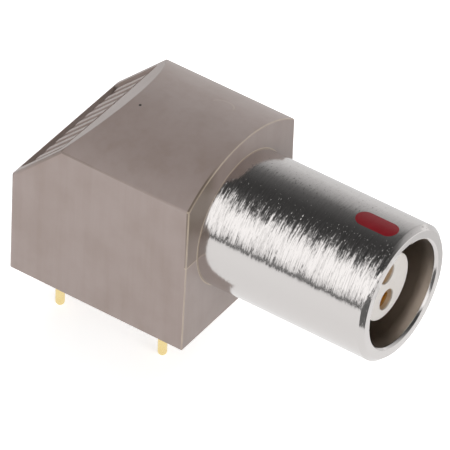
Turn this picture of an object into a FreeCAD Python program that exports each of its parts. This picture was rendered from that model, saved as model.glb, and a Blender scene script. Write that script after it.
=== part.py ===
import FreeCAD, Part
import math
import os

# Right-angle circular socket for a printed circuit board, in millimetres.
# X runs along the barrel and out of its mouth, Y across, Z up.
# The origin is the centre of the four ground pins, on the face that sits on the board.

# Board side
BOARD_STEP = 2.54          # grid of the holes in the board
PIN_STEPS = 3              # steps between the ground pins, the same both ways
PIN_D = 0.60               # ground pin diameter
PIN_BELOW = 3.00           # how far the ground pins stand out below the seating face
PIN_SHANK_D = 0.96         # thicker part of the pin, pressed into the base
PIN_TENON = 0.46           # square end that goes through the ground plate
PIN_HEAD = 0.35            # square end above the ground plate
TAIL_STEPS = 1             # steps between the two contact tails
TAIL_FRONT_X = 0.0         # place of the front tail on the board
TAIL_D = 0.50
TAIL_SHANK_D = 0.84        # the wire above the board
TAIL_BELOW = 3.00
TAIL_BEND = 0.70           # bend radius at the wire's centre line
TAIL_SOCKET = 0.90         # how deep a tail sits in the back of its contact

# Housing
PIN_TO_FRONT = 2.63        # from the front pins to the front face
PIN_TO_BACK = 2.52         # from the back pins to the back face
SIDE_WALL = 1.03
BACK_WALL = 1.00
FRONT_WALL = 1.20
ROOF_LAND = 1.44           # from the top of the barrel to the crown of the roof
ARCH_RISE = 1.90           # from the top of the side walls to the crown
MITRE_RUN = 3.45           # height that the back loses to the 45 degree face
SIDE_DRAFT = 1.0           # degrees
FRONT_LEAN = 0.11          # how far the front face leans out at the crown
EDGE_R = 0.18              # rounding of the moulded edges
FRONT_EDGE_R = 0.08        # rounding round the front face
PARTING_DROP = 0.35        # parting line of the front wall, below the barrel's axis
BASE_T = 1.20              # floor of the base

# Recessed panel on the 45 degree face
PANEL_DEPTH = 0.30
PANEL_SIDE = 0.60          # rim left at each side
PANEL_LOW = 0.18           # rim left along the back edge
PANEL_H = 4.47             # height of the panel up the slope, at its sides
PANEL_CROWN = 0.25         # how much higher the panel is in its middle
PANEL_CORNER = 0.35
BAR_COUNT = 9              # plain upright bars on the floor of the panel
BAR_PITCH = 1.00
BAR_W = 0.46
BAR_H = 2.90
BAR_T = 0.20

# Outer shell
AXIS_H = 6.69              # barrel axis above the board
BARREL_D = 8.80
BARREL_OUT = 11.79         # from the front face to the mouth
BORE_D = 6.90
RIM_CHAMFER = 0.29
BORE_CHAMFER = 0.144
LAND_L = 1.10              # guide land at the mouth, its chamfer included
LAND_RELIEF = 0.17         # the bore is this much wider behind the land
NECK_STEP = 0.45           # the neck in the front wall is this much smaller in radius
FLANGE_STEP = 0.50         # the flange behind the wall is this much bigger than the neck
FLANGE_T = 1.10
FLANGE_SIDE_CLEAR = 0.15
FLANGE_KEY_W = 1.30        # notch at the top of the flange that stops it turning
FLANGE_KEY_D = 0.25
SLEEVE_STEP = 0.35         # rear sleeve, smaller in radius than the neck
SLEEVE_L = 1.65
WEB_T = 0.90               # saddle web behind the flange
REAR_BORE_D = 5.96
STOP_DEPTH = 7.90          # from the mouth to the inner stop web
STOP_T = 0.75
GROOVE_DEPTH = 4.00        # from the mouth to the latch groove
GROOVE_W = 1.30
GROOVE_CUT = 0.22
KEYWAY_W = 1.20
KEYWAY_CUT = 0.24

# Index mark
MARK_L = 2.85
MARK_W = 1.25
MARK_T = 0.25
MARK_FROM_MOUTH = 0.70

# Insert
INSULATOR_D = 4.40
FACE_DEPTH = 1.18          # insulator face behind the rim
INSERT_FLANGE_T = 1.20
CONTACT_PITCH = 2.00
CONTACT_D = 1.32
CONTACT_PIN_D = 0.90       # bore for the mating pin
CONTACT_BORE_L = 4.60
CONTACT_RECESS = 0.35      # contact front behind the insulator face
CONTACT_COLLAR_D = 1.70
CONTACT_COLLAR_T = 0.60
CONTACT_SHANK_D = 1.28
CONTACT_OUT = 0.80         # shank out of the retaining ring
SLIT_W = 0.20
SLIT_L = 4.00
RING_T = 1.40              # retaining ring
RING_SET = 0.33            # ring set back into the end of the sleeve
RING_BORE_D = 3.90
RING_SLOT_W = 0.80
RING_SLOT_D = 0.50

# Earthing crown
CROWN_T = 0.30
CROWN_L = 1.90
CROWN_BASE_L = 0.50
CROWN_FINGERS = 8
CROWN_SLOT_W = 0.35
CROWN_SPRING = 0.20        # how far the finger tips lean inwards

# Ground plate and tail guide
PLATE_T = 0.30
RAIL_W = 1.00
PLATE_END = 0.60           # plate past the pin centres, at the back
PLATE_BRIDGE_W = 0.80
TAB_CLEAR = 0.40           # from the front wall to the tab
SADDLE_CLEAR = 0.25        # from the rails to the saddle
GUIDE_W = 2.60
GUIDE_H = 2.30
GUIDE_END = 0.70           # guide past the tail centres

FIT = 0.03                 # clearance between pieces that go together

# Places worked out from the sizes above
pin_grid = PIN_STEPS * BOARD_STEP
tail_pitch = TAIL_STEPS * BOARD_STEP
barrel_r = BARREL_D / 2
neck_r = barrel_r - NECK_STEP
flange_r = neck_r + FLANGE_STEP
sleeve_r = neck_r - SLEEVE_STEP
bore_r = BORE_D / 2
rear_bore_r = REAR_BORE_D / 2
insulator_r = INSULATOR_D / 2
cavity_half = max(flange_r + FLANGE_SIDE_CLEAR, (pin_grid + RAIL_W) / 2 + FLANGE_SIDE_CLEAR)
half_w = cavity_half + SIDE_WALL
front_x = pin_grid / 2 + PIN_TO_FRONT
back_x = -pin_grid / 2 - PIN_TO_BACK
mouth_x = front_x + BARREL_OUT
crown_h = AXIS_H + barrel_r + ROOF_LAND
shoulder_h = crown_h - ARCH_RISE
back_h = shoulder_h - MITRE_RUN
parting_h = AXIS_H - PARTING_DROP
wall_x = front_x - FRONT_WALL
flange_x = wall_x - FIT
flange_back_x = flange_x - FLANGE_T
web_x = flange_back_x - FIT
web_back_x = web_x - WEB_T
sleeve_end_x = flange_back_x - SLEEVE_L
stop_x = mouth_x - STOP_DEPTH
stop_back_x = stop_x - STOP_T
face_x = mouth_x - FACE_DEPTH
insert_back_x = stop_back_x - INSERT_FLANGE_T
ring_x = sleeve_end_x + RING_SET
rear_block_x = ring_x + RING_T
contact_end_x = ring_x - CONTACT_OUT
collar_x = insert_back_x - CONTACT_COLLAR_T
contact_heights = {"upper": AXIS_H + CONTACT_PITCH / 2, "lower": AXIS_H - CONTACT_PITCH / 2}
tail_places = {"upper": TAIL_FRONT_X - tail_pitch, "lower": TAIL_FRONT_X}
pin_places = [(sx * pin_grid / 2, sy * pin_grid / 2) for sx in (-1, 1) for sy in (-1, 1)]
relief_r = bore_r + LAND_RELIEF
FAR = 3 * (front_x - back_x)  # longer than any cut has to be


def vec(x, y, z):
    return FreeCAD.Vector(x, y, z)


def save(shape, name):
    shape.exportStep("parts/" + name + ".step")
    print(name, round(shape.Volume, 3), "valid" if shape.isValid() else "NOT VALID", len(shape.Solids))


def block(x0, x1, y0, y1, z0, z1):
    return Part.makeBox(x1 - x0, y1 - y0, z1 - z0, vec(x0, y0, z0))


def along_x(x0, x1, radius, height=AXIS_H, y=0.0):
    return Part.makeCylinder(radius, x1 - x0, vec(x0, y, height), vec(1, 0, 0))


def upright(x, y, z0, z1, radius):
    return Part.makeCylinder(radius, z1 - z0, vec(x, y, z0), vec(0, 0, 1))


def square_at(x, y, z0, z1, half):
    return block(x - half, x + half, y - half, y + half, z0, z1)


def turned(profile, height=AXIS_H):
    """Solid of revolution about a line along X; the profile is a list of (x, radius)."""
    points = [vec(x, 0, height + r) for x, r in profile]
    face = Part.Face(Part.makePolygon(points + points[:1]))
    return face.revolve(vec(0, 0, height), vec(1, 0, 0), 360)


# Housing and base

def half_width(z):
    return half_w - z * math.tan(math.radians(SIDE_DRAFT))


def front_at(z):
    """Place of the leaning front face at a height."""
    return front_x + FRONT_LEAN * z / crown_h


def arched_prism(x0, x1, half_bottom, half_top, spring_h, top_h):
    """Prism along X whose section is a box with a segmental arch on top."""
    left = vec(x0, -half_top, spring_h)
    right = vec(x0, half_top, spring_h)
    arch = Part.Arc(left, vec(x0, 0, top_h), right).toShape()
    sides = Part.makePolygon([right, vec(x0, half_bottom, 0), vec(x0, -half_bottom, 0), left])
    wire = Part.Wire([arch] + sides.Edges)
    return Part.Face(wire).extrude(vec(x1 - x0, 0, 0))


def above_mitre(inset):
    """Everything on the outer side of the 45 degree face, moved in by the inset."""
    s = inset / math.sqrt(2)
    x, z = back_x + s, back_h - s
    corners = [vec(x - FAR, -FAR, z - FAR), vec(x + FAR, -FAR, z + FAR), vec(x - FAR, -FAR, z + FAR)]
    return Part.Face(Part.makePolygon(corners + corners[:1])).extrude(vec(0, 2 * FAR, 0))


def ahead_of_front():
    """Everything in front of the leaning front face."""
    low, high = -crown_h, 2 * crown_h
    corners = [vec(front_at(low), -FAR, low), vec(FAR, -FAR, low), vec(FAR, -FAR, high),
               vec(front_at(high), -FAR, high)]
    return Part.Face(Part.makePolygon(corners + corners[:1])).extrude(vec(0, 2 * FAR, 0))


def lies_in_front(edge):
    return all(abs(v.X - front_at(v.Z)) < 1e-6 for v in edge.Vertexes)


def outer_block():
    body = arched_prism(back_x, front_at(crown_h), half_w, half_width(shoulder_h), shoulder_h, crown_h)
    body = body.cut(ahead_of_front()).cut(above_mitre(0))
    moulded = [e for e in body.Edges if e.BoundBox.ZMax > EDGE_R and not lies_in_front(e)]
    body = body.makeFillet(EDGE_R, moulded)
    round_front = [e for e in body.Edges if e.BoundBox.ZMax > EDGE_R and lies_in_front(e)]
    return body.makeFillet(FRONT_EDGE_R, round_front)


def roof_arc():
    """Centre height and radius of the roof arch."""
    half = half_width(shoulder_h)
    radius = (half ** 2 + ARCH_RISE ** 2) / (2 * ARCH_RISE)
    return crown_h - radius, radius


def cavity():
    """The hollow of the housing, with the saddle web and the key rib left standing."""
    centre_h, radius = roof_arc()
    inner_r = radius - SIDE_WALL
    spring_h = centre_h + math.sqrt(inner_r ** 2 - cavity_half ** 2)
    hollow = arched_prism(back_x + BACK_WALL, wall_x, cavity_half, cavity_half, spring_h, centre_h + inner_r)
    hollow = hollow.cut(above_mitre(SIDE_WALL))
    web = block(web_back_x, web_x, -cavity_half, cavity_half, parting_h, crown_h)
    web = web.cut(along_x(web_back_x, web_x, sleeve_r + FIT))
    rib_half = FLANGE_KEY_W / 2 - FIT
    rib = block(web_x, wall_x, -rib_half, rib_half, AXIS_H + flange_r - FLANGE_KEY_D + FIT, crown_h)
    return hollow.cut(web).cut(rib)


def lower_wall_space():
    """Room of the lower front wall: its ends are mitred into the corners of the housing."""
    wires = []
    for z in (0, parting_h):
        w, face = half_width(z), front_at(z)
        ahead, inner = face + FRONT_WALL, w - (face - wall_x)
        outline = [(wall_x, inner), (face, w), (ahead, w), (ahead, -w), (face, -w), (wall_x, -inner)]
        points = [vec(x, y, z) for x, y in outline]
        wires.append(Part.makePolygon(points + points[:1]))
    return Part.makeLoft(wires, True, True)


def moulding():
    """Outer form of housing and base together, with the hole for the shell's neck."""
    form = outer_block().cut(along_x(wall_x - FIT, front_x, neck_r + FIT))
    return form.cut(along_x(front_x, front_x + FRONT_WALL, barrel_r + FIT))


def on_slope(y, t, out=0.0):
    """Point of the 45 degree face: y across, t up the slope, out along its normal."""
    s = math.sqrt(2)
    return vec(back_x + (t - out) / s, y, back_h + (t + out) / s)


def slope_slab(wire, low, high):
    """Slab on the 45 degree face over a wire that lies in it, from low to high along its normal."""
    s = math.sqrt(2)
    face = Part.Face(wire)
    face.translate(vec(-low / s, 0, low / s))
    return face.extrude(vec(-(high - low) / s, 0, (high - low) / s))


def slope_rect(y0, y1, t0, t1):
    corners = [on_slope(y0, t0), on_slope(y1, t0), on_slope(y1, t1), on_slope(y0, t1)]
    return Part.makePolygon(corners + corners[:1])


def panel():
    """Recess of the 45 degree face: rounded corners below, a flat arch above."""
    half = half_width(back_h) - PANEL_SIDE
    low, side = PANEL_LOW, PANEL_LOW + PANEL_H
    arch = Part.Arc(on_slope(-half, side), on_slope(0, side + PANEL_CROWN), on_slope(half, side)).toShape()
    sides = Part.makePolygon([on_slope(half, side), on_slope(half, low), on_slope(-half, low),
                              on_slope(-half, side)])
    recess = slope_slab(Part.Wire([arch] + sides.Edges), -PANEL_DEPTH, SIDE_WALL)
    normal = vec(-1, 0, 1)
    upright_edges = [e for e in recess.Edges if len(e.Vertexes) == 2
                     and (e.Vertexes[1].Point - e.Vertexes[0].Point).cross(normal).Length < 1e-6]
    return recess.makeFillet(PANEL_CORNER, upright_edges)


def panel_bars():
    """Plain bars that stand on the floor of the panel."""
    middle = PANEL_LOW + (PANEL_H + PANEL_CROWN) / 2
    floor = -PANEL_DEPTH
    bars = []
    for i in range(BAR_COUNT):
        y = (i - (BAR_COUNT - 1) / 2) * BAR_PITCH
        outline = slope_rect(y - BAR_W / 2, y + BAR_W / 2, middle - BAR_H / 2, middle + BAR_H / 2)
        bars.append(slope_slab(outline, floor - BAR_T, floor + BAR_T))
    return bars


def housing(form):
    body = form.cut(cavity()).cut(lower_wall_space()).cut(panel())
    return body.fuse(panel_bars())


def base(form):
    wall = form.common(lower_wall_space())
    inner = cavity_half - FIT
    floor = block(back_x + BACK_WALL + FIT, wall_x, -inner, inner, 0, BASE_T)
    saddle_half = (pin_grid - RAIL_W) / 2 - SADDLE_CLEAR
    saddle = block(web_back_x, web_x, -saddle_half, saddle_half, BASE_T / 2, parting_h)
    saddle = saddle.cut(along_x(web_back_x, web_x, sleeve_r + FIT))
    body = wall.fuse([floor, saddle])
    for x, y in pin_places:
        body = body.cut(upright(x, y, 0, BASE_T, PIN_SHANK_D / 2 + FIT))
    for x in tail_places.values():
        body = body.cut(upright(x, 0, 0, BASE_T, TAIL_SHANK_D / 2 + FIT))
    return body


# Outer shell and what sits in it

def mark_shape(grow, floor_r, top_r):
    """Slot with round ends on top of the barrel, between two radii."""
    length, half = MARK_L + 2 * grow, MARK_W / 2 + grow
    x1 = mouth_x - MARK_FROM_MOUTH + grow
    x0 = x1 - length
    low, high = AXIS_H + floor_r - MARK_W, AXIS_H + top_r + MARK_W
    slot = block(x0 + half, x1 - half, -half, half, low, high)
    slot = slot.fuse([upright(x0 + half, 0, low, high, half), upright(x1 - half, 0, low, high, half)])
    ring = along_x(x0, x1, top_r).cut(along_x(x0, x1, floor_r))
    return slot.removeSplitter().common(ring)


def outer_shell():
    groove_x = mouth_x - GROOVE_DEPTH
    shell = turned([
        (mouth_x, barrel_r - RIM_CHAMFER), (mouth_x - RIM_CHAMFER, barrel_r), (front_x, barrel_r),
        (front_x, neck_r), (flange_x, neck_r), (flange_x, flange_r), (flange_back_x, flange_r),
        (flange_back_x, sleeve_r), (sleeve_end_x, sleeve_r), (sleeve_end_x, rear_bore_r),
        (stop_back_x, rear_bore_r), (stop_back_x, insulator_r + FIT), (stop_x, insulator_r + FIT),
        (stop_x, relief_r), (groove_x - GROOVE_W, relief_r), (groove_x - GROOVE_W, relief_r + GROOVE_CUT),
        (groove_x, relief_r + GROOVE_CUT), (groove_x, relief_r), (mouth_x - LAND_L, relief_r),
        (mouth_x - LAND_L, bore_r), (mouth_x - BORE_CHAMFER, bore_r), (mouth_x, bore_r + BORE_CHAMFER)])
    keyway = block(groove_x - GROOVE_W, mouth_x, -KEYWAY_W / 2, KEYWAY_W / 2, AXIS_H,
                   AXIS_H + bore_r + KEYWAY_CUT)
    notch = block(flange_back_x, flange_x, -FLANGE_KEY_W / 2, FLANGE_KEY_W / 2,
                  AXIS_H + flange_r - FLANGE_KEY_D, AXIS_H + flange_r)
    pocket = mark_shape(0, barrel_r - MARK_T, barrel_r + MARK_T)
    return shell.cut(keyway).cut(notch).cut(pocket)


def index_mark():
    return mark_shape(0, barrel_r - MARK_T, barrel_r)


def earthing_crown():
    outer = relief_r - FIT
    tip = stop_x + CROWN_L
    root = stop_x + CROWN_BASE_L
    ring = turned([(stop_x, outer - CROWN_T), (stop_x, outer), (root, outer), (tip, outer - CROWN_SPRING),
                   (tip, outer - CROWN_SPRING - CROWN_T), (root, outer - CROWN_T)])
    for i in range(CROWN_FINGERS):
        slot = block(root, tip, -CROWN_SLOT_W / 2, CROWN_SLOT_W / 2, AXIS_H, AXIS_H + relief_r)
        slot.rotate(vec(0, 0, AXIS_H), vec(1, 0, 0), (i + 0.5) * 360 / CROWN_FINGERS)
        ring = ring.cut(slot)
    return ring


def insulator_front():
    big = rear_bore_r - FIT
    body = turned([(face_x, 0), (face_x, insulator_r), (stop_back_x, insulator_r), (stop_back_x, big),
                   (insert_back_x, big), (insert_back_x, 0)])
    for z in contact_heights.values():
        body = body.cut(along_x(insert_back_x, face_x, CONTACT_D / 2 + FIT, z))
    return body


def insulator_rear():
    body = along_x(rear_block_x, insert_back_x, rear_bore_r - FIT)
    for z in contact_heights.values():
        body = body.cut(along_x(rear_block_x, insert_back_x, CONTACT_SHANK_D / 2 + FIT, z))
        body = body.cut(along_x(collar_x, insert_back_x, CONTACT_COLLAR_D / 2 + FIT, z))
    return body


def retaining_ring():
    ring = along_x(ring_x, rear_block_x, rear_bore_r - FIT)
    ring = ring.cut(along_x(ring_x, rear_block_x, RING_BORE_D / 2))
    half = RING_SLOT_W / 2
    return ring.cut(block(ring_x, ring_x + RING_SLOT_D, -rear_bore_r, rear_bore_r, AXIS_H - half, AXIS_H + half))


def contact(z):
    """Turned female contact with a slit front and a drilled back."""
    front = face_x - CONTACT_RECESS
    body = turned([(front, 0), (front, CONTACT_D / 2), (insert_back_x, CONTACT_D / 2),
                   (insert_back_x, CONTACT_COLLAR_D / 2), (collar_x, CONTACT_COLLAR_D / 2),
                   (collar_x, CONTACT_SHANK_D / 2), (contact_end_x, CONTACT_SHANK_D / 2),
                   (contact_end_x, 0)], z)
    body = body.cut(along_x(front - CONTACT_BORE_L, front, CONTACT_PIN_D / 2, z))
    body = body.cut(along_x(contact_end_x, contact_end_x + TAIL_SOCKET, TAIL_SHANK_D / 2 + FIT, z))
    return body.cut(block(front - SLIT_L, front, -CONTACT_D, CONTACT_D, z - SLIT_W / 2, z + SLIT_W / 2))


def tail(z, x):
    """Wire from the back of a contact, bent down through guide and base."""
    r = TAIL_SHANK_D / 2
    tip_r = TAIL_D / 2
    start = vec(contact_end_x + TAIL_SOCKET - FIT, 0, z)
    bend_in = vec(x + TAIL_BEND, 0, z)
    bend_out = vec(x, 0, z - TAIL_BEND)
    end = vec(x, 0, tip_r - TAIL_BELOW)
    centre = vec(x + TAIL_BEND, 0, z - TAIL_BEND)
    flat = along_x(bend_in.x, start.x, r, z)
    section = Part.Face(Part.Wire(Part.makeCircle(r, bend_in, vec(1, 0, 0))))
    elbow = section.revolve(centre, vec(0, -1, 0), 90)
    drop = upright(x, 0, 0, bend_out.z, r)
    below = upright(x, 0, end.z, 0, tip_r)
    return flat.fuse([elbow, drop, below, Part.makeSphere(tip_r, end)]).removeSplitter()


# Board side

def ground_pin(x, y):
    r = PIN_D / 2
    body = upright(x, y, r - PIN_BELOW, 0, r)
    shank = upright(x, y, 0, BASE_T, PIN_SHANK_D / 2)
    tenon = square_at(x, y, BASE_T, BASE_T + PLATE_T + PIN_HEAD, PIN_TENON / 2)
    return body.fuse([shank, tenon, Part.makeSphere(r, vec(x, y, r - PIN_BELOW))]).removeSplitter()


def ground_plate():
    """Stamped plate: two rails over the pins, joined at the back, with a tab up to the flange on each."""
    low, high = BASE_T, BASE_T + PLATE_T
    x0 = -pin_grid / 2 - PLATE_END
    tab_x = wall_x - TAB_CLEAR - PLATE_T
    inner, outer = (pin_grid - RAIL_W) / 2, (pin_grid + RAIL_W) / 2
    plate = block(x0, x0 + PLATE_BRIDGE_W, -inner, inner, low, high)
    for side in (-1, 1):
        y0, y1 = sorted((side * inner, side * outer))
        rail = block(x0, tab_x + PLATE_T, y0, y1, low, high)
        tab = block(tab_x, tab_x + PLATE_T, y0, y1, low, AXIS_H - flange_r / 2)
        plate = plate.fuse([rail, tab])
    plate = plate.removeSplitter().cut(along_x(flange_back_x - FIT, flange_x + FIT, flange_r + FIT))
    for x, y in pin_places:
        plate = plate.cut(square_at(x, y, low, high, PIN_TENON / 2 + FIT))
    return plate


def tail_guide():
    """Insulating block on the base that keeps the tails apart."""
    x0, x1 = TAIL_FRONT_X - tail_pitch - GUIDE_END, TAIL_FRONT_X + GUIDE_END
    body = block(x0, x1, -GUIDE_W / 2, GUIDE_W / 2, BASE_T, BASE_T + GUIDE_H)
    corners = [e for e in body.Edges if abs(e.Vertexes[0].Z - e.Vertexes[1].Z) > GUIDE_H / 2]
    body = body.makeFillet(GUIDE_END / 3, corners)
    for x in tail_places.values():
        body = body.cut(upright(x, 0, BASE_T, BASE_T + GUIDE_H, TAIL_SHANK_D / 2 + FIT))
    return body


def main():
    os.makedirs("parts", exist_ok=True)
    form = moulding()
    save(housing(form), "housing")
    save(base(form), "base_plate")
    save(outer_shell(), "outer_shell")
    save(index_mark(), "index_mark")
    save(earthing_crown(), "earthing_crown")
    save(insulator_front(), "insulator_front")
    save(insulator_rear(), "insulator_rear")
    save(retaining_ring(), "retaining_ring")
    for name, z in contact_heights.items():
        save(contact(z), "contact_" + name)
        save(tail(z, tail_places[name]), "contact_tail_" + name)
    for i, (x, y) in enumerate(pin_places):
        save(ground_pin(x, y), "ground_pin_" + str(i + 1))
    save(ground_plate(), "ground_plate")
    save(tail_guide(), "tail_guide")


main()
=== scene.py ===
import bmesh
import bpy
import math
from mathutils import Matrix, Quaternion, Vector


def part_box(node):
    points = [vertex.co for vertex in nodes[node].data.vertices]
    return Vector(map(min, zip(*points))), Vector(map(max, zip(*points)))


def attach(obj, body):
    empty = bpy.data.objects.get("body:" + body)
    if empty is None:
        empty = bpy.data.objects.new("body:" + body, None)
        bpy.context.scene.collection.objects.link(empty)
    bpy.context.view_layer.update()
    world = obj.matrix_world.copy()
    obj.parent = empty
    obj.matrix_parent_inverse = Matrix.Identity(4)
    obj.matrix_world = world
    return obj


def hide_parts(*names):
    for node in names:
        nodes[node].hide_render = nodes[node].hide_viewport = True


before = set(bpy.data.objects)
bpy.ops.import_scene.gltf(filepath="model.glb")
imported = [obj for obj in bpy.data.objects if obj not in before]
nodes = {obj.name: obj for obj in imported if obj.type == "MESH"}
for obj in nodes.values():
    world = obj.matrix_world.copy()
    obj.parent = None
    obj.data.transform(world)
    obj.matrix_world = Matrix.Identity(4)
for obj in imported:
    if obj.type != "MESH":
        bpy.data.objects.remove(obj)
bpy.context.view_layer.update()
scene = bpy.context.scene
mm = 0.001             # the sizes below are in millimetres
axisHeight = 6.69      # line of the barrel above the board
frontFace = 6.44       # front face of the housing, at the board
mouth = 18.23          # outer end of the barrel
partingHeight = 6.34   # parting line of the front wall


def inScene(name, data):
    made = bpy.data.objects.new(name, data)
    scene.collection.objects.link(made)
    return made


# Camera

camera = {
    "aim": (5.438, 0.02, 5.46),
    "distance": 380,
    "azimuth": -56.37,
    "elevation": 40.57,
    "roll": 2.2,
    "lens": 510,
    "sensor": 36,
    "near": 10,
    "far": 20000,
}


def makeCamera():
    azimuth = math.radians(camera["azimuth"])
    elevation = math.radians(camera["elevation"])
    level = math.cos(elevation)
    back = Vector((level * math.cos(azimuth), level * math.sin(azimuth), math.sin(elevation)))
    turn = back.to_track_quat("Z", "Y") @ Quaternion((0, 0, 1), math.radians(camera["roll"]))
    place = (Vector(camera["aim"]) + back * camera["distance"]) * mm
    lens = bpy.data.cameras.new("camera")
    lens.sensor_width = camera["sensor"]
    lens.lens = camera["lens"]
    lens.clip_start = camera["near"] * mm
    lens.clip_end = camera["far"] * mm
    view = inScene("camera", lens)
    view.matrix_world = Matrix.LocRotScale(place, turn, None)
    scene.camera = view


makeCamera()
scene.view_settings.view_transform = "Standard"
print("camera is set")


# Shader maths: a Value is an output socket, and sums of values add Math nodes

class Value:
    def __init__(self, sheet, socket):
        self.sheet = sheet
        self.socket = socket

    def maths(self, operation, *others):
        links = dict(enumerate((self,) + others))
        return self.sheet.node("ShaderNodeMath", {"operation": operation}, links)

    def __add__(self, other):
        return self.maths("ADD", other)

    def __sub__(self, other):
        return self.maths("SUBTRACT", other)

    def __mul__(self, other):
        return self.maths("MULTIPLY", other)

    def __truediv__(self, other):
        return self.maths("DIVIDE", other)

    def __rsub__(self, other):
        return (self * -1.0).maths("ADD", other)

    __radd__ = __add__
    __rmul__ = __mul__

    def __or__(self, other):
        return self.maths("MAXIMUM", other)

    def absolute(self):
        return self.maths("ABSOLUTE")

    def limit(self):
        self.socket.node.use_clamp = True
        return self

    def between(self, low, high):
        # 0 below low, 1 above high, smooth from one to the other
        links = {"Value": self, "From Min": low, "From Max": high}
        settings = {"interpolation_type": "SMOOTHSTEP"}
        return self.sheet.node("ShaderNodeMapRange", settings, links)


def distance(a, b):
    return (a * a + b * b).maths("SQRT")


class Sheet:
    def __init__(self, tree):
        self.tree = tree
        tree.nodes.clear()

    def node(self, kind, settings=None, links=None, output=0):
        made = self.tree.nodes.new(kind)
        for name, setting in (settings or {}).items():
            if name == "stops":
                self.setStops(made.color_ramp, setting)
            else:
                setattr(made, name, setting)
        for name, link in (links or {}).items():
            if isinstance(link, Value):
                self.tree.links.new(link.socket, made.inputs[name])
            else:
                made.inputs[name].default_value = link
        return Value(self, made.outputs[output]) if len(made.outputs) else made

    def setStops(self, ramp, stops):
        # each stop is a place from 0 to 1 and a grey level
        while len(ramp.elements) < len(stops):
            ramp.elements.new(1.0)
        for element, (place, level) in zip(ramp.elements, stops):
            element.position = place
            element.color = (level, level, level, 1)

    def outputs(self, value):
        return [Value(self, socket) for socket in value.socket.node.outputs]

    def coordinates(self):
        return self.node("ShaderNodeTexCoord", output="Object")

    def attribute(self, name):
        return self.node("ShaderNodeAttribute", {"attribute_name": name}, {}, "Fac")

    def noise(self, scale, detail=3.0, roughness=0.55, location=(0, 0, 0)):
        # scale is in features a millimetre, one number or one for each direction
        scale = scale if hasattr(scale, "__len__") else (scale,) * 3
        perMetre = tuple(s / mm for s in scale)
        places = {"Vector": self.coordinates(), "Scale": perMetre, "Location": location}
        mapped = self.node("ShaderNodeMapping", {}, places)
        links = {"Vector": mapped, "Scale": 1.0, "Detail": detail, "Roughness": roughness}
        return self.node("ShaderNodeTexNoise", {}, links)

    def parts(self):
        # x, y and z in millimetres
        split = self.node("ShaderNodeSeparateXYZ", {}, {"Vector": self.coordinates()})
        return [part * (1 / mm) for part in self.outputs(split)]

    def mix(self, factor, first, second):
        links = {0: factor, 6: first, 7: second}
        return self.node("ShaderNodeMix", {"data_type": "RGBA"}, links, 2)

    def vector(self, x, y, z):
        return self.node("ShaderNodeCombineXYZ", {}, {"X": x, "Y": y, "Z": z})

    def tilted(self, normal, lean):
        # a normal with a small vector added, made unit length again
        moved = self.node("ShaderNodeVectorMath", {"operation": "ADD"}, {0: normal, 1: lean})
        return self.node("ShaderNodeVectorMath", {"operation": "NORMALIZE"}, {0: moved})

    def bump(self, height, depth):
        # depth is the height's full range in millimetres
        links = {"Height": height, "Distance": depth * mm, "Strength": 1.0}
        return self.node("ShaderNodeBump", {}, links)

    def surface(self, **links):
        names = {name.replace("_", " "): link for name, link in links.items()}
        return self.node("ShaderNodeBsdfPrincipled", {}, names)


def material(name):
    made = bpy.data.materials.new(name)
    made.use_nodes = True
    return made, Sheet(made.node_tree)


def finishMaterial(made, sheet, shader):
    sheet.node("ShaderNodeOutputMaterial", {}, {"Surface": shader})
    return made


def srgb(red, green, blue):
    # a colour as it is read from a picture, made linear
    levels = [c / 255 for c in (red, green, blue)]
    linear = [c / 12.92 if c <= 0.04045 else ((c + 0.055) / 1.055) ** 2.4 for c in levels]
    return (*linear, 1.0)


# Finishes

plasticLook = {
    "colour": srgb(156, 142, 137),
    "mottle": srgb(146, 131, 124),
    # painted shade colour for the front face beside the barrel's root
    "paintedBarrelShade": srgb(110, 96, 84),
    # pale colour of wear and flash, also used as a painted highlight on the front edges
    "paleWearAndHighlight": srgb(202, 186, 166),
    # painted dark reflection colour for the roof's long edges
    "fold": srgb(120, 106, 98),
    "dirt": srgb(38, 34, 32),
    "roughness": 0.27,
    "grain": 0.0016,
    "frontDepth": (0.11, 0.07),    # marks of the front face fade out between these depths
    "edgeShare": 0.45,      # how much of the pale colour shows on the front edges, partly wear and partly painted highlight
    "paintedFoldShadeShare": 0.7,
    "seamShare": 0.7,
    "scuffShare": 0.2,
    "seamHalf": 0.035,      # half the width of the pale seams on the front face
    "ringRadius": 4.44,     # the seam round the barrel
    "paintedBarrelShadeSide": (-3.8, -2.2),
    "paintedBarrelShadeRise": (7.0, 10.0),
    "roofLevel": 9.0,       # the speck and the scuff are above this level
    "speck": (-0.30, -0.90),
    "speckSize": 0.10,
    "scuff": (3.45, 2.15),
    "scuffRadius": 0.75,
}


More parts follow.
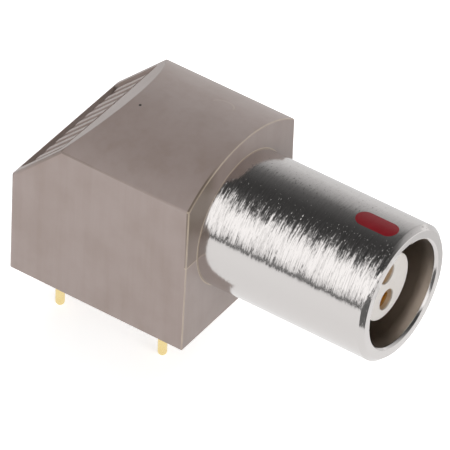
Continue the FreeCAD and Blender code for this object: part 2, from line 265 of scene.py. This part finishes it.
def housingPlastic():
    look = plasticLook
    made, sheet = material("housingPlastic")
    cloud = sheet.noise(0.35, 4).between(0.35, 0.7)
    flow = sheet.noise((1.6, 1.6, 0.12), 3).between(0.35, 0.75)
    grain = sheet.noise(9.0, 2)
    x, y, z = sheet.parts()
    front = x.between(*(frontFace - depth for depth in look["frontDepth"]))
    roof = z.between(look["roofLevel"], look["roofLevel"] + 0.1)
    tone = (cloud * 0.6 + flow * 0.4).limit()
    colour = sheet.mix(tone, look["colour"], look["mottle"])
    # painted dark reflection along the rounded long edges of the roof
    colour = sheet.mix(sheet.attribute("fold") * look["paintedFoldShadeShare"], colour, look["fold"])

    # painted shade: the upper moulding on the left of the barrel's root is painted brown where the barrel
    # shades it, darker higher up
    paintedBarrelShade = front * z.between(partingHeight - 0.05, partingHeight) * (1.0 - y.between(*look["paintedBarrelShadeSide"]))
    colour = sheet.mix(paintedBarrelShade * (0.5 + z.between(*look["paintedBarrelShadeRise"]) * 0.45), colour, look["paintedBarrelShade"])

    # pale front edges, partly wear and partly a painted highlight along their rounding, and pale seams
    # round the barrel and along the parting line
    thin, wide = look["seamHalf"] * 0.7, look["seamHalf"] * 1.3
    ring = (distance(y, z - axisHeight) - look["ringRadius"]).absolute()
    parting = (z - partingHeight).absolute()
    seams = (1.0 - ring.between(thin, wide)) | (1.0 - parting.between(thin, wide))
    edges = sheet.attribute("edge") * front * (look["edgeShare"] + (cloud - 0.5) * 0.3)
    paleWearAndHighlight = edges | (seams * front * look["seamShare"])

    # a scuffed arc and one dark speck on the roof
    placeX, placeY = look["scuff"]
    arc = (distance(x - placeX, y - placeY) - look["scuffRadius"]).absolute()
    scuff = (1.0 - arc.between(0.02, 0.06)) * y.between(placeY + 0.1, placeY + 0.3) * roof
    colour = sheet.mix(paleWearAndHighlight | (scuff * look["scuffShare"]), colour, look["paleWearAndHighlight"])
    placeX, placeY = look["speck"]
    speck = 1.0 - distance(x - placeX, y - placeY).between(look["speckSize"] * 0.7, look["speckSize"])
    colour = sheet.mix(speck * roof, colour, look["dirt"])

    rough = (look["roughness"] + grain * 0.10).limit()
    normal = sheet.bump(grain + cloud * 0.5, look["grain"])
    shader = sheet.surface(Base_Color=colour, Roughness=rough, Normal=normal, IOR=1.5)
    return finishMaterial(made, sheet, shader)


nickelLook = {
    "colour": srgb(216, 212, 210),
    "inside": srgb(204, 192, 180),
    "streak": srgb(120, 116, 114),
    "roughness": 0.10,
    "insideRoughness": 0.24,    # added in the bore
    "insideRadius": (3.86, 3.9),
    "needles": 0.70,        # how far the needles lean round the barrel
    "flecks": 0.36,
    "streaks": 0.22,        # how much the dull streaks darken the bright flank
    "pits": 0.45,           # lean of the few deep flecks
    "calm": 0.15,           # share of needles and flecks outside the left flank
    "flankHeight": (1.5, 2.4),
    "flankSide": (-2.2, -0.8),
    "rootLean": 0.24,       # the barrel's flank turns outwards a little at its root
    "rootLength": 1.4,
    "grain": 0.0006,
}


def shellNickel():
    look = nickelLook
    made, sheet = material("shellNickel")
    needle = sheet.noise((9.0, 0.9, 0.9), 3, 0.6)          # long round the barrel, fine along it
    fleck = sheet.noise((16.0, 5.0, 5.0), 2, 0.6, (3, 5, 7))
    cloud = sheet.noise(1.2, 3, 0.5, (9, 2, 4))
    x, y, z = sheet.parts()
    height = z - axisHeight
    radius = distance(y, height)
    inside = (1.0 - radius.between(*look["insideRadius"])) * (1.0 - x.between(mouth - 0.22, mouth - 0.18))
    colour = sheet.mix(inside, look["colour"], look["inside"])
    streak = sheet.noise((15.0, 1.0, 1.0), 2, 0.6, (1, 4, 8)).between(0.48, 0.62)
    streak = streak * height.between(1.5, 2.0) * (y * -1.0).between(0.5, 2.0)
    colour = sheet.mix(streak * look["streaks"], colour, look["streak"])
    rough = (look["roughness"] + fleck * 0.05 + cloud * 0.03 + inside * look["insideRoughness"]).limit()

    # fine turned marks: the normal swings round the barrel, and outwards at the root
    flank = height.between(*look["flankHeight"]) * (1.0 - y.between(*look["flankSide"]))
    strong = flank * (1.0 - look["calm"]) + look["calm"]
    lean = ((needle - 0.5) * look["needles"] + (fleck - 0.5) * look["flecks"]) * strong
    lean = lean + fleck.between(0.66, 0.74) * look["pits"]
    root = 1.0 - x.between(frontFace + 0.1, frontFace + look["rootLength"])
    outwards = (fleck - 0.5) * 0.08 + root * flank * look["rootLean"]
    swing = sheet.vector(outwards, height / radius * lean * -1.0, y / radius * lean)
    normal = sheet.tilted(sheet.bump(cloud, look["grain"]), swing)
    shader = sheet.surface(Base_Color=colour, Metallic=1.0, Roughness=rough, Normal=normal)
    return finishMaterial(made, sheet, shader)


springLook = {
    "bright": srgb(206, 202, 196),
    "dull": srgb(188, 184, 177),
    "roughness": 0.24,
    "grain": 0.0015,
}


def springNickel():
    look = springLook
    made, sheet = material("springNickel")
    grain = sheet.noise(6.0, 3)
    colour = sheet.mix(grain, look["bright"], look["dull"])
    rough = (look["roughness"] + grain * 0.14).limit()
    normal = sheet.bump(grain, look["grain"])
    shader = sheet.surface(Base_Color=colour, Metallic=1.0, Roughness=rough, Normal=normal)
    return finishMaterial(made, sheet, shader)


markLook = {
    "bright": srgb(136, 18, 30),
    "dark": srgb(116, 12, 22),
    "roughness": 0.42,
    "grain": 0.0025,
}


def markRed():
    look = markLook
    made, sheet = material("markRed")
    grain = sheet.noise(11.0, 2)
    colour = sheet.mix(sheet.noise(1.6, 3), look["bright"], look["dark"])
    rough = (look["roughness"] + grain * 0.15).limit()
    normal = sheet.bump(grain, look["grain"])
    shader = sheet.surface(Base_Color=colour, Roughness=rough, IOR=1.4, Normal=normal)
    return finishMaterial(made, sheet, shader)


insulatorLook = {
    "bright": srgb(233, 229, 225),
    "dull": srgb(221, 215, 209),
    "paintedGiltReflection": srgb(198, 160, 100),    # painted reflection: the gold light of the gilt contacts, painted on the walls of their holes
    "paintedGiltReflectionShare": 0.6,
    "holeReach": (0.80, 0.85),
    "contactOffset": 1.0,    # each contact stands this far above or below the axis
    "roughness": 0.42,
    "grain": 0.0015,
}


def insulatorPlastic():
    look = insulatorLook
    made, sheet = material("insulatorPlastic")
    grain = sheet.noise(12.0, 2)
    colour = sheet.mix(sheet.noise(1.1, 3), look["bright"], look["dull"])
    x, y, z = sheet.parts()
    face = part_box("insulator_front")[1][0] / mm
    rise = ((z - axisHeight).absolute() - look["contactOffset"]).absolute()
    near = 1.0 - distance(y, rise).between(*look["holeReach"])
    wall = near * (1.0 - x.between(face - 0.16, face - 0.08))
    # painted reflection of the gilt contacts on the walls of their holes
    colour = sheet.mix(wall * look["paintedGiltReflectionShare"], colour, look["paintedGiltReflection"])
    rough = (look["roughness"] + grain * 0.14).limit()
    normal = sheet.bump(grain, look["grain"])
    shader = sheet.surface(Base_Color=colour, Roughness=rough, Normal=normal)
    return finishMaterial(made, sheet, shader)


giltLooks = {
    "contactGold": {
        "bright": srgb(232, 190, 112),
        "dull": srgb(206, 160, 84),
        "roughness": 0.18,
        "grain": 0.0015,
    },
    # painted highlight: the pins' gold is paler than the contacts' gold, for the glare that falls on the
    # pins
    "pinGoldWithGlare": {
        "bright": srgb(249, 229, 172),
        "dull": srgb(240, 214, 148),
        "roughness": 0.22,
        "grain": 0.0015,
    },
}


def gilt(name):
    look = giltLooks[name]
    made, sheet = material(name)
    streak = sheet.noise((14.0, 2.0, 2.0), 2)
    colour = sheet.mix(sheet.noise(2.2, 3), look["bright"], look["dull"])
    rough = (look["roughness"] + streak * 0.12).limit()
    normal = sheet.bump(streak, look["grain"])
    shader = sheet.surface(Base_Color=colour, Metallic=1.0, Roughness=rough, Normal=normal)
    return finishMaterial(made, sheet, shader)


finishes = {
    "housing_plastic": housingPlastic(),
    "shell_nickel": shellNickel(),
    "spring_nickel": springNickel(),
    "mark_red": markRed(),
    "insulator": insulatorPlastic(),
    "contact_gold": gilt("contactGold"),
    "pin_gold": gilt("pinGoldWithGlare"),
}
print("finishes are made:", len(finishes))


# Pieces

def addPiece(name, mesh, slotName, *replaced):
    made = inScene(name, mesh)
    mesh.materials.clear()
    mesh.materials.append(finishes[slotName])
    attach(made, "root")
    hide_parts(*replaced)
    return made


def meshFrom(shape, name, sharpAngle):
    mesh = bpy.data.meshes.new(name)
    shape.to_mesh(mesh)
    shape.free()
    mesh.shade_smooth()
    mesh.set_sharp_from_angle(angle=math.radians(sharpAngle))
    return mesh


def copyOfNode(name):
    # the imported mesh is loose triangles: join them, then take out the edges inside flat faces
    shape = bmesh.new()
    shape.from_mesh(nodes[name].data)
    bmesh.ops.remove_doubles(shape, verts=shape.verts, dist=0.001 * mm)
    flat = math.radians(0.6)
    bmesh.ops.dissolve_limit(shape, angle_limit=flat, verts=shape.verts, edges=shape.edges)
    return shape


def bevelSharp(shape, width, overAngle=60, segments=2):
    limit = math.radians(overAngle)
    sharp = [e for e in shape.edges if e.is_manifold and e.calc_face_angle() > limit]
    bmesh.ops.bevel(shape, geom=sharp, offset=width * mm, offset_type="OFFSET", affect="EDGES",
                    segments=segments, profile=0.5, material=-1, clamp_overlap=True)


def weightNormals(piece):
    weighted = piece.modifiers.new("evenShading", "WEIGHTED_NORMAL")
    weighted.keep_sharp = True
    weighted.mode = "FACE_AREA"


# Mouldings: housing and base

moulding = {
    "bevel": 0.03,
    "narrow": 0.16,         # a face narrower than this is part of a softened edge
    "hole": 4.43,           # radius of the hole for the barrel in the solid
    "closedHole": 4.403,    # the same hole, moulded up to the metal
    "frontDepth": 0.12,     # the worn front edges lie in this depth
    "foldLevels": (10.3, 10.9),
    "foldSide": 5.2,
}

mouldedPieces = {"housingShell": "housing", "baseMoulding": "base_plate"}


def closeRing(shape):
    # the hole comes up to the metal
    for v in shape.verts:
        away = math.hypot(v.co.y, v.co.z - axisHeight * mm)
        if abs(away - moulding["hole"] * mm) < 0.012 * mm:
            share = moulding["closedHole"] * mm / away
            v.co.y = v.co.y * share
            v.co.z = axisHeight * mm + (v.co.z - axisHeight * mm) * share


def markRoundings(shape):
    # the attribute "edge" is 1 on the rounded edges round the front, which get wear and a painted
    # highlight; a second attribute is 1 on the roof's long edges, which get a painted dark reflection
    edge = shape.verts.layers.float.new("edge")
    fold = shape.verts.layers.float.new("fold")
    low, high = moulding["foldLevels"]
    for v in shape.verts:
        widths = [f.calc_area() / max(e.calc_length() for e in f.edges) for f in v.link_faces]
        narrow = bool(widths) and max(widths) < moulding["narrow"] * mm
        front = v.co.x > (frontFace - moulding["frontDepth"]) * mm
        onFold = low < v.co.z / mm < high and abs(v.co.y) > moulding["foldSide"] * mm
        v[edge] = 1.0 if narrow and front else 0.0
        v[fold] = 1.0 if narrow and not front and onFold else 0.0


for pieceName, nodeName in mouldedPieces.items():
    form = copyOfNode(nodeName)
    closeRing(form)
    bevelSharp(form, moulding["bevel"])
    markRoundings(form)
    piece = addPiece(pieceName, meshFrom(form, pieceName, 50), "housing_plastic", nodeName)
    weightNormals(piece)
print("mouldings are made:", len(mouldedPieces))


# Barrel: one profile turned round the axis, then the keyway and the pocket of the mark are cut

barrel = {
    "radius": 4.40,
    "bore": 3.45,
    "relief": 3.62,
    "groove": 3.84,
    "neck": 3.95,
    "flange": 4.45,
    "sleeve": 3.60,
    "rearBore": 2.98,
    "webHole": 2.23,
    "rimChamfer": 0.29,
    "boreChamfer": 0.144,
    "land": 1.10,           # depths from the mouth
    "grooveFrom": 4.00,
    "grooveTo": 5.30,
    "stopFrom": 7.90,
    "stopTo": 8.65,
    "flangeFront": 5.21,    # places along the axis
    "flangeBack": 4.11,
    "sleeveEnd": 2.46,
    "rings": (14.0, 10.0, frontFace + 0.2),    # rings of points that keep the shading even
    "keywayWidth": 1.20,
    "keywayFloor": 2.50,    # heights above the axis
    "keywayTop": 3.69,
    "markLength": 2.85,
    "markWidth": 1.25,
    "markDepth": 0.25,
    "markFromMouth": 0.70,
    "rounding": 0.035,
    "overcut": 1,           # how far a cutter stands out of the metal
    "steps": 192,
}


def barrelProfile():
    # places along the axis with their radius: back over the outside, then up the bore to the mouth
    b = barrel
    rim, landEnd = mouth - b["rimChamfer"], mouth - b["land"]
    grooveFront, grooveBack = mouth - b["grooveFrom"], mouth - b["grooveTo"]
    stopFront, stopBack = mouth - b["stopFrom"], mouth - b["stopTo"]
    outside = [(x, b["radius"]) for x in (rim, *b["rings"], frontFace)]
    return [
        (mouth, b["radius"] - b["rimChamfer"]), *outside,
        (frontFace, b["neck"]), (b["flangeFront"], b["neck"]),
        (b["flangeFront"], b["flange"]), (b["flangeBack"], b["flange"]),
        (b["flangeBack"], b["sleeve"]), (b["sleeveEnd"], b["sleeve"]),
        (b["sleeveEnd"], b["rearBore"]), (stopBack, b["rearBore"]),
        (stopBack, b["webHole"]), (stopFront, b["webHole"]),
        (stopFront, b["relief"]), (grooveBack, b["relief"]),
        (grooveBack, b["groove"]), (grooveFront, b["groove"]),
        (grooveFront, b["relief"]), (landEnd, b["relief"]),
        (landEnd, b["bore"]), (mouth - b["boreChamfer"], b["bore"]),
        (mouth, b["bore"] + b["boreChamfer"]),
    ]


def turnedForm(profile, steps):
    form = bmesh.new()
    line = [form.verts.new(Vector((x, 0, axisHeight + r)) * mm) for x, r in profile]
    edges = [form.edges.new((a, b)) for a, b in zip(line, line[1:] + line[:1])]
    bmesh.ops.spin(form, geom=line + edges, cent=Vector((0, 0, axisHeight)) * mm, axis=(1, 0, 0),
                   angle=math.radians(360), steps=steps, use_merge=True)
    bmesh.ops.remove_doubles(form, verts=form.verts, dist=0.0005 * mm)
    bmesh.ops.recalc_face_normals(form, faces=form.faces)
    return form


def vertsOf(geometry):
    return [item for item in geometry if isinstance(item, bmesh.types.BMVert)]


def halfTurn(form, start, centre):
    # draws a half circle from a point, and gives the point where it ends
    arc = bmesh.ops.spin(form, geom=[start], cent=Vector(centre) * mm, axis=(0, 0, 1),
                         angle=math.radians(180), steps=24, use_merge=False)
    return vertsOf(arc["geom_last"])[0]


def slotCutter(length, width, xEnd, low, high):
    # upright slot with round ends, for the pocket of the mark
    cutter = bmesh.new()
    half = width / 2
    nearStart = cutter.verts.new(Vector((xEnd - half, -half, low)) * mm)
    nearEnd = halfTurn(cutter, nearStart, (xEnd - half, 0, low))
    farStart = cutter.verts.new(nearEnd.co - Vector((length - width, 0, 0)) * mm)
    cutter.edges.new((nearEnd, farStart))
    farEnd = halfTurn(cutter, farStart, (xEnd - length + half, 0, low))
    cutter.edges.new((farEnd, nearStart))
    floor = bmesh.ops.contextual_create(cutter, geom=cutter.edges[:])["faces"]
    top = bmesh.ops.extrude_face_region(cutter, geom=floor)["geom"]
    bmesh.ops.translate(cutter, vec=(0, 0, (high - low) * mm), verts=vertsOf(top))
    bmesh.ops.recalc_face_normals(cutter, faces=cutter.faces)
    return cutter


def boxCutter(low, high):
    cutter = bmesh.new()
    size = Vector(high) - Vector(low)
    middle = (Vector(high) + Vector(low)) / 2
    place = Matrix.Translation(middle * mm) @ Matrix.Diagonal((*(size * mm), 1))
    bmesh.ops.create_cube(cutter, size=1, matrix=place)
    return cutter


def cutAway(form, cutters):
    # takes the cutters out of a form with Boolean modifiers, and gives the result as a new mesh
    body = inScene("cutBody", meshFrom(form, "cutBody", 30))
    tools = []
    for i, cutter in enumerate(cutters):
        tool = inScene("cutTool" + str(i), meshFrom(cutter, "cutTool" + str(i), 30))
        step = body.modifiers.new("cut" + str(i), "BOOLEAN")
        step.operation = "DIFFERENCE"
        step.solver = "EXACT"
        step.object = tool
        tools.append(tool)
    seen = body.evaluated_get(bpy.context.evaluated_depsgraph_get())
    result = bpy.data.meshes.new_from_object(seen)
    for item in [body] + tools:
        bpy.data.objects.remove(item)
    return result


def makeBarrel():
    b = barrel
    form = turnedForm(barrelProfile(), b["steps"])
    bevelSharp(form, b["rounding"], 25, 3)
    half = b["keywayWidth"] / 2
    keyway = boxCutter((mouth - b["grooveTo"], -half, axisHeight + b["keywayFloor"]),
                       (mouth + b["overcut"], half, axisHeight + b["keywayTop"]))
    top = axisHeight + b["radius"]
    pocket = slotCutter(b["markLength"], b["markWidth"], mouth - b["markFromMouth"],
                        top - b["markDepth"], top + b["overcut"])
    mesh = cutAway(form, [keyway, pocket])
    mesh.set_sharp_from_angle(angle=math.radians(32))
    return addPiece("barrelShell", mesh, "shell_nickel", "outer_shell")


weightNormals(makeBarrel())
print("barrel is turned")


# The rest keeps the form of its node, with softened edges

smallPieces = {
    "indexEnamel": {"node": "index_mark", "slot": "mark_red", "bevel": 0.03},
    "insulatorFront": {"node": "insulator_front", "slot": "insulator", "bevel": 0.05},
    "insulatorRear": {"node": "insulator_rear", "slot": "insulator", "bevel": 0.05},
    "tailGuide": {"node": "tail_guide", "slot": "insulator", "bevel": 0.05},
    "earthingCrown": {"node": "earthing_crown", "slot": "spring_nickel", "bevel": 0.02},
    "retainingRing": {"node": "retaining_ring", "slot": "spring_nickel", "bevel": 0.04},
    "groundPlate": {"node": "ground_plate", "slot": "spring_nickel", "bevel": 0.03},
    "contactUpper": {"node": "contact_upper", "slot": "contact_gold", "bevel": 0.03},
    "contactLower": {"node": "contact_lower", "slot": "contact_gold", "bevel": 0.03},
    "tailUpper": {"node": "contact_tail_upper", "slot": "contact_gold", "bevel": 0.02},
    "tailLower": {"node": "contact_tail_lower", "slot": "contact_gold", "bevel": 0.02},
}
for number in ("1", "2", "3", "4"):
    groundPin = {"node": "ground_pin_" + number, "slot": "pin_gold", "bevel": 0.02}
    smallPieces["groundPin" + number] = groundPin

for pieceName, s in smallPieces.items():
    form = copyOfNode(s["node"])
    bevelSharp(form, s["bevel"], 50)
    piece = addPiece(pieceName, meshFrom(form, pieceName, 40), s["slot"], s["node"])
    weightNormals(piece)
print("small pieces are made:", len(smallPieces))


# Studio: pale floor, soft lamps, white all round, and a dark ceiling that only the gloss sees

studio = {
    "floorLevel": -3.0,
    "floorReach": (-2000, 2000),
    "floorColour": (0.86, 0.855, 0.85, 1),
    "floorDark": (0.05, 0.05, 0.05, 1),    # its own colour in mirrors, which leaves only the glow
    "floorGlow": 0.68,      # the floor as the camera sees it
    "floorGloss": 0.92,     # the floor as metal mirrors it
    "ambient": 0.22,
    "lampAim": (4, 0, 6),
    "patchLift": 0.05,
    "ceilingRadius": 500,
    "ceilingHalf": 1500,
}

lamps = {
    "leftStrip": {"place": (-350, -900, 60), "size": (1300, 120), "level": 14.5},
    "rightBox": {"place": (-150, 700, 520), "size": (800, 600), "level": 4.1},
    "frontBox": {"place": (900, -250, 240), "size": (600, 400), "level": 6.3},
}

# patches on the floor: the table's far edge, what stands before the mouth, and the paler floor behind
patches = {
    "farEdge": {"xRange": (-1500, 30), "yRange": (-1500, -125), "level": 0.11},
    "beforeMouth": {"xRange": (31, 320), "yRange": (-200, 2), "level": 0.15},
    "behind": {"xRange": (-1500, 30), "yRange": (12, 1500), "level": 0.76},
}

# cards round the X axis: levels at angles, from +Y over the top to -Y and below
cards = {
    "rightSky": [
        (-48, 1.14), (-26, 1.05), (-10, 0.91), (6, 0.71), (22, 0.553), (30, 0.454), (38, 0.32),
        (46, 0.18), (54, 0.121), (62, 0.095),
    ],
    "ceiling": [
        (62, 0.095), (70, 0.071), (78, 0.056), (94, 0.058), (102, 0.07), (111, 0.14),
        (117, 0.42), (123, 0.85), (129, 1.2), (134, 1.34),
    ],
    "leftSky": [
        (134, 1.34), (156, 1.34), (166, 1.15), (174, 0.9), (176.5, 0.6), (178, 0.11),
        (186, 0.11), (188, 0.85), (194, 1.0),
    ],
}

white = (1, 1, 1, 1)


def seenRays(sheet):
    # two shares: what the camera sees, and what mirrors and glass see
    outputs = sheet.node("ShaderNodeLightPath").socket.node.outputs
    names = ("Is Camera Ray", "Is Glossy Ray", "Is Transmission Ray")
    direct, glossy, through = [Value(sheet, outputs[name]) for name in names]
    return direct, (glossy + through).limit()


def makeWorld():
    world = bpy.data.worlds.new("studio")
    scene.world = world
    world.use_nodes = True
    sheet = Sheet(world.node_tree)
    direct, mirrored = seenRays(sheet)
    seen = (direct + mirrored).limit()
    strength = seen + (1.0 - seen) * studio["ambient"]
    shader = sheet.node("ShaderNodeBackground", {}, {"Color": white, "Strength": strength})
    sheet.node("ShaderNodeOutputWorld", {}, {"Surface": shader})


def standFrom(form, name):
    mesh = bpy.data.meshes.new(name)
    form.to_mesh(mesh)
    form.free()
    return inScene(name, mesh)


def flatSheet(name, xRange, yRange, level):
    form = bmesh.new()
    middle = Vector((sum(xRange) / 2, sum(yRange) / 2, level))
    spread = Matrix.Diagonal(((xRange[1] - xRange[0]) * mm, (yRange[1] - yRange[0]) * mm, 1, 1))
    place = Matrix.Translation(middle * mm) @ spread
    bmesh.ops.create_grid(form, x_segments=1, y_segments=1, size=0.5, matrix=place)
    return standFrom(form, name)


def makeFloor():
    floor = flatSheet("floor", studio["floorReach"], studio["floorReach"], studio["floorLevel"])
    made, sheet = material("floorPaint")
    direct, mirrored = seenRays(sheet)
    glow = direct * studio["floorGlow"] + mirrored * studio["floorGloss"]
    paint = sheet.mix(mirrored, studio["floorColour"], studio["floorDark"])
    shader = sheet.surface(Base_Color=paint, Roughness=0.9, Emission_Color=white, Emission_Strength=glow)
    floor.data.materials.append(finishMaterial(made, sheet, shader))


def makeLamp(name, place, size, level):
    lamp = bpy.data.lights.new(name, "AREA")
    lamp.shape = "RECTANGLE"
    lamp.size = size[0] * mm
    lamp.size_y = size[1] * mm
    lamp.energy = level * math.pi * lamp.size * lamp.size_y
    box = inScene(name, lamp)
    aim = Vector(studio["lampAim"]) - Vector(place)
    box.matrix_world = Matrix.LocRotScale(Vector(place) * mm, aim.to_track_quat("-Z", "Y"), None)
    box.visible_camera = False
    box.visible_glossy = False


def showToMirrors(stand, made, sheet, colour, strength):
    # the stand glows, and only the gloss sees it
    shader = sheet.node("ShaderNodeEmission", {}, {"Color": colour, "Strength": strength})
    stand.data.materials.append(finishMaterial(made, sheet, shader))
    stand.visible_camera = False
    stand.visible_diffuse = False
    stand.visible_shadow = False
    stand.visible_transmission = False


def makePatch(name, xRange, yRange, level):
    patch = flatSheet(name, xRange, yRange, studio["floorLevel"] + studio["patchLift"])
    made, sheet = material(name)
    showToMirrors(patch, made, sheet, white, level)


def makeCard(name, stops):
    # part of a tube round the X axis
    fromAngle, toAngle = stops[0][0], stops[-1][0]
    span = toAngle - fromAngle
    start = math.radians(fromAngle)
    radius, half = studio["ceilingRadius"] * mm, studio["ceilingHalf"] * mm
    y, z = radius * math.cos(start), radius * math.sin(start)
    form = bmesh.new()
    ends = [form.verts.new((x, y, z)) for x in (-half, half)]
    edge = form.edges.new(ends)
    bmesh.ops.spin(form, geom=ends + [edge], cent=(0, 0, 0), axis=(1, 0, 0),
                   angle=math.radians(span), steps=32, use_merge=False)
    card = standFrom(form, name)
    made, sheet = material(name)
    x, y, z = sheet.parts()
    angle = (z.maths("ARCTAN2", y) * (180 / math.pi) + 90.0).maths("WRAP", 360.0, 0.0) - 90.0
    share = (angle - fromAngle) * (1 / span)
    brightest = max(level for a, level in stops)
    places = [((a - fromAngle) / span, level / brightest) for a, level in stops]
    level = sheet.node("ShaderNodeValToRGB", {"stops": places}, {"Fac": share})
    showToMirrors(card, made, sheet, level, brightest)


makeWorld()
makeFloor()
for lampName, lamp in lamps.items():
    makeLamp(lampName, **lamp)
for cardName, stops in cards.items():
    makeCard(cardName, stops)
for patchName, patch in patches.items():
    makePatch(patchName, **patch)
print("studio is lit")
